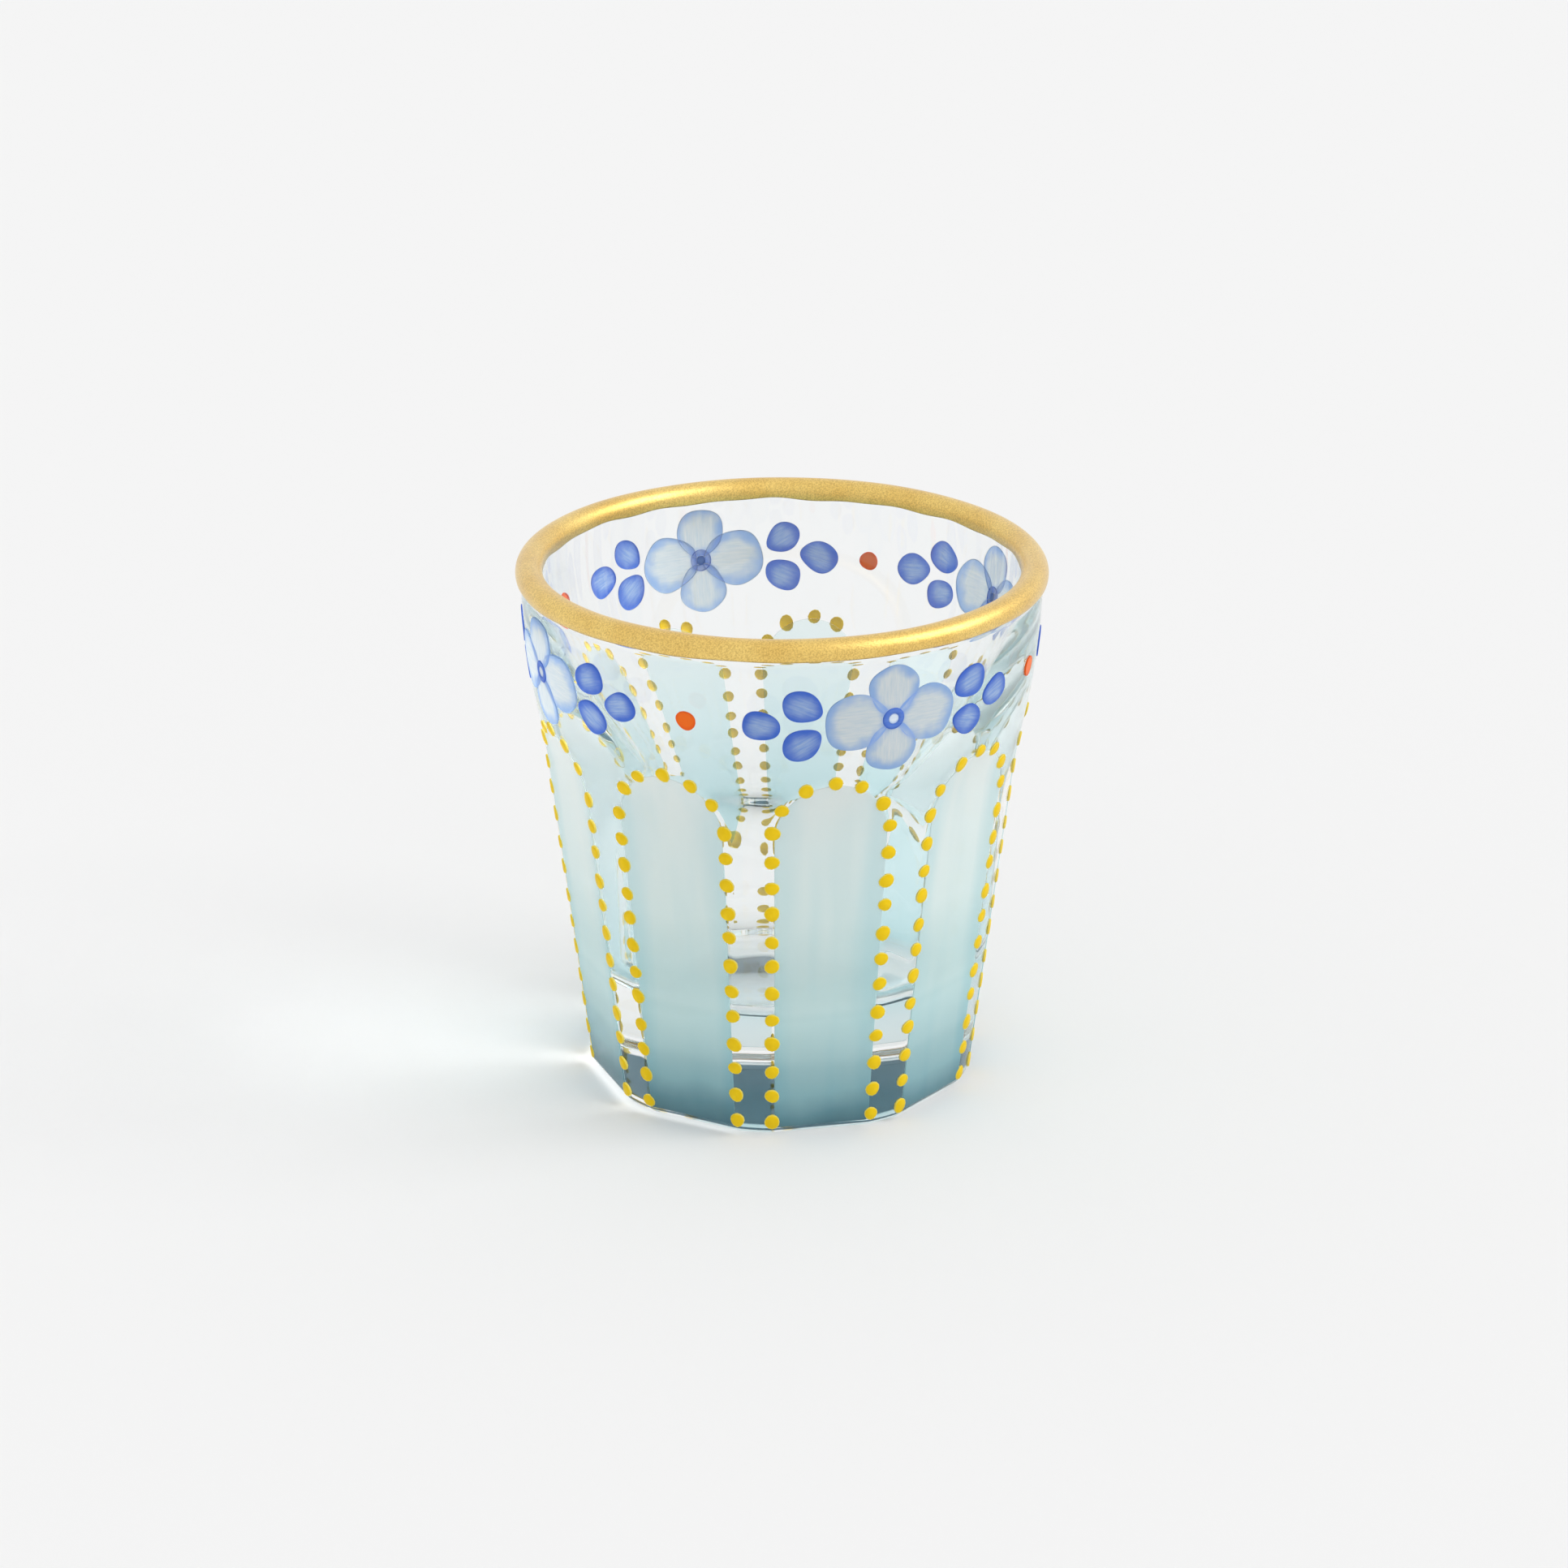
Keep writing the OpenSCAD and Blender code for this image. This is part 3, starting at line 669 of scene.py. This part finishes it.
for i, degrees in enumerate(garland["turns"]):
    flowerTurn = math.radians(degrees)
    blocks, uvs, edges = [], [], []
    for side in range(garland["petalN"]):
        reach, width = uprightReach, garland["petalW"]
        if side % 2 == 0:  # the petals that lie across the band
            reach, width = garland["reach"], garland["petalSideW"]
        root = garland["ringR"] * garland["rootShare"]
        length = reach - root
        along, beside = egg(length, width, garland["petalEgg"], petalTurn)
        wobble = 1 + garland["petalWobble"] * np.sin(5 * petalTurn + 2.1 * side + i)
        along, beside = along * wobble, beside * wobble
        angle = 2 * math.pi / garland["petalN"] * side
        middle = turned(root + length / 2, 0.0, angle)
        edgeAcross, edgeUp = turned(along, beside, angle)

        def onFlower(across, up, height, middle=middle, flowerTurn=flowerTurn):
            return onBand(flowerTurn, garlandZ)(across + middle[0], up + middle[1], height)

        over = garland["petalOver"] * side  # each petal lies a little over the one before
        depths = [(s, h + over * (h > 0)) for s, h in paintDepths(garland["petalT"])]
        block, uv, edge = dab(edgeAcross, edgeUp, depths, onFlower, angle)
        blocks.append(block)
        uvs.append(uv + np.array([11.0 * side + 47.0 * i, 7.0 * side]))  # other hairs on each petal
        edges.append(edge)
    addPiece(f"flowerPetals{i + 1}", gridMesh(f"flowerPetals{i + 1}", blocks, uvs, edges), petalBlue,
             f"flower_petals_{i + 1}")
    # ring and heart in the middle of the flower
    face = onBand(flowerTurn, garlandZ)
    ringR, heartR, t = garland["ringR"], garland["heartR"], garland["ringT"]
    innerR, sunk = heartR + 0.03, -garland["sink"]
    section = [(innerR, t * 0.4), (heartR + 0.1, t), ((heartR + ringR) / 2, t), (ringR - 0.12, t),
               (ringR - 0.02, t * 0.55), (ringR, sunk), (ringR - 0.03, sunk), (innerR, sunk),
               (innerR, t * 0.4)]
    radius = np.array([s[0] for s in section])[:, None]
    height = np.array([s[1] for s in section])[:, None]
    across, up = radius * np.cos(-circle), radius * np.sin(-circle)
    points = face(across, up, np.broadcast_to(height, across.shape))
    share = np.where((height < 0) & (radius < ringR), underMark, (radius - heartR) / (ringR - heartR))
    share = np.broadcast_to(share, across.shape).copy()
    addPiece(f"flowerRing{i + 1}", gridMesh(f"flowerRing{i + 1}", [(points, "ring")],
                                            [np.stack([across, up], -1)], [share]), ringBlue,
             f"flower_ring_{i + 1}")
    depths = paintDepths(t * garland["domeShare"])
    block, uv, edge = dab(heartR * np.cos(circle), heartR * np.sin(circle), depths, face)
    addPiece(f"flowerHeart{i + 1}", gridMesh(f"flowerHeart{i + 1}", [block], [uv], [edge]), heartPale,
             f"flower_heart_{i + 1}")
    # orange dot half way to the next flower
    following = garland["turns"][(i + 1) % flowerN] + (360 if i == flowerN - 1 else 0)
    face = onBand(math.radians((degrees + following) / 2), garlandZ)
    oval = garland["orangeR"] * (1 + 0.05 * np.sin(2 * circle + i) + 0.03 * np.sin(3 * circle + 2 * i))
    depths = paintDepths(garland["orangeRise"] * garland["domeShare"])
    block, uv, edge = dab(oval * np.cos(circle), oval * np.sin(circle), depths, face)
    addPiece(f"orangeDot{i + 1}", gridMesh(f"orangeDot{i + 1}", [block], [uv], [edge]), orange,
             f"orange_dot_{i + 1}")

# ways from the middle of a flower to its two near leaves and to the far one
tiltShare = math.cos(math.radians(garland["leafTilt"]))
nearWay = garland["reach"] + garland["leafGap"] + garland["leafL"] * tiltShare / 2
farWay = nearWay + garland["leafL"]
leafRise = garland["leafW"] / 2 + garland["leafGap"]
for i in range(1, 2 * flowerN + 1):
    side = 1 if i % 2 == 0 else -1
    flowerTurn = math.radians(garland["turns"][(i + 1) // 2 - 1])
    blocks, uvs, edges = [], [], []
    for leaf, (way, lift) in enumerate([(farWay, 0), (nearWay, 1), (nearWay, -1)]):
        count = 3 * i + leaf
        grow = 1 + garland["leafStray"] * float(stray(count + 4))
        tilt = math.radians(garland["leafTilt"] * lift + garland["leafTiltStray"] * float(stray(count)))
        along, beside = egg(garland["leafL"] * grow, garland["leafW"] * grow, garland["leafEgg"], leafTurn)
        wobble = 1 + garland["leafWobble"] * np.sin(4 * leafTurn + 1.7 * count)
        edgeAcross, edgeUp = turned(along * wobble, beside * wobble, tilt)
        edgeAcross = edgeAcross * side
        if side < 0:  # mirrored, so the outline runs the other way round
            edgeAcross, edgeUp = edgeAcross[::-1], edgeUp[::-1]
        face = onBand(flowerTurn + side * way / bandR, garlandZ + leafRise * lift)
        block, uv, edge = dab(edgeAcross, edgeUp, paintDepths(garland["leafT"]), face, tilt * side)
        blocks.append(block)
        uvs.append(uv + np.array([13.0 * count, 5.0 * leaf]))  # other hairs on each leaf
        edges.append(edge)
    addPiece(f"leafTrio{i}", gridMesh(f"leafTrio{i}", blocks, uvs, edges), leafBlue, f"leaf_trio_{i}")
print("garland:", flowerN, "flowers,", 2 * flowerN, "leaf trios")

# floor, light and camera
studio = {"floorR": 4.0, "floorZ": -0.00002, "floorColumns": 96, "floorColour": 0.905, "sky": 0.75,
          "seen": 0.905, "sunPower": 1.25, "sunAngle": 34.0, "sunTilt": 49.5, "sunTurn": 82.0,
          "bounces": 32, "diffuseBounces": 12}
floorTurn = np.linspace(2 * math.pi, 0, studio["floorColumns"], endpoint=False)
rings = np.array([0.0, 0.5, 1.0])[:, None] * studio["floorR"]
across, back = rings * np.cos(floorTurn), rings * np.sin(floorTurn)
points = np.stack([across, back, np.full_like(across, studio["floorZ"])], -1)
floorMesh = gridMesh("floor", [(points, "first")])
paperColour = (*[studio["floorColour"]] * 3, 1)
paper, tree, shader = newMaterial("palePaper", Base_Color=paperColour, Roughness=0.9,
                                  Specular_IOR_Level=0.1)
floorMesh.materials.append(paper)
floor = bpy.data.objects.new("floor", floorMesh)
scene.collection.objects.link(floor)

world = bpy.data.worlds.new("studio")
scene.world = world
world.use_nodes = True
tree = world.node_tree
path = addNode(tree, "ShaderNodeLightPath")
seen = addNode(tree, "ShaderNodeMath", [(0, path.outputs["Is Camera Ray"]),
                                        (1, path.outputs["Is Glossy Ray"])], operation="MAXIMUM")
seen = addNode(tree, "ShaderNodeMath", [(0, seen.outputs[0]), (1, path.outputs["Is Transmission Ray"])],
               operation="MAXIMUM")
level = addNode(tree, "ShaderNodeMapRange", [("Value", seen.outputs[0]), ("To Min", studio["sky"]),
                                             ("To Max", studio["seen"])])
tree.links.new(level.outputs["Result"], tree.nodes["Background"].inputs["Strength"])
tree.nodes["Background"].inputs["Color"].default_value = (1, 1, 1, 1)

sun = bpy.data.lights.new("softSun", "SUN")
sun.energy = studio["sunPower"]
sun.angle = math.radians(studio["sunAngle"])
sun.cycles.use_multiple_importance_sampling = False  # it shines straight through the glass, only once
sunObject = bpy.data.objects.new("softSun", sun)
sunObject.rotation_euler = (math.radians(studio["sunTilt"]), 0, math.radians(studio["sunTurn"]))
scene.collection.objects.link(sunObject)

view = {"distance": 0.65, "elevation": 21.2, "aim": 0.038, "lens": 116.83, "sensor": 36.0, "shift": 0.0013}
camera = bpy.data.cameras.new("camera")
camera.lens = view["lens"]
camera.sensor_width = view["sensor"]
camera.shift_x = view["shift"]
camera.clip_start = 0.01
cameraObject = bpy.data.objects.new("camera", camera)
rise = math.radians(view["elevation"])
cameraObject.location = (0, -view["distance"] * math.cos(rise),
                         view["aim"] + view["distance"] * math.sin(rise))
cameraObject.rotation_euler = (math.pi / 2 - rise, 0, 0)
scene.collection.objects.link(cameraObject)
scene.camera = cameraObject

scene.view_settings.view_transform = "Standard"
scene.cycles.use_denoising = True
for kind in ("max_bounces", "glossy_bounces", "transmission_bounces", "transparent_max_bounces"):
    setattr(scene.cycles, kind, studio["bounces"])  # light that runs inside the thick glass leaves it again
scene.cycles.diffuse_bounces = studio["diffuseBounces"]
print("studio ready")
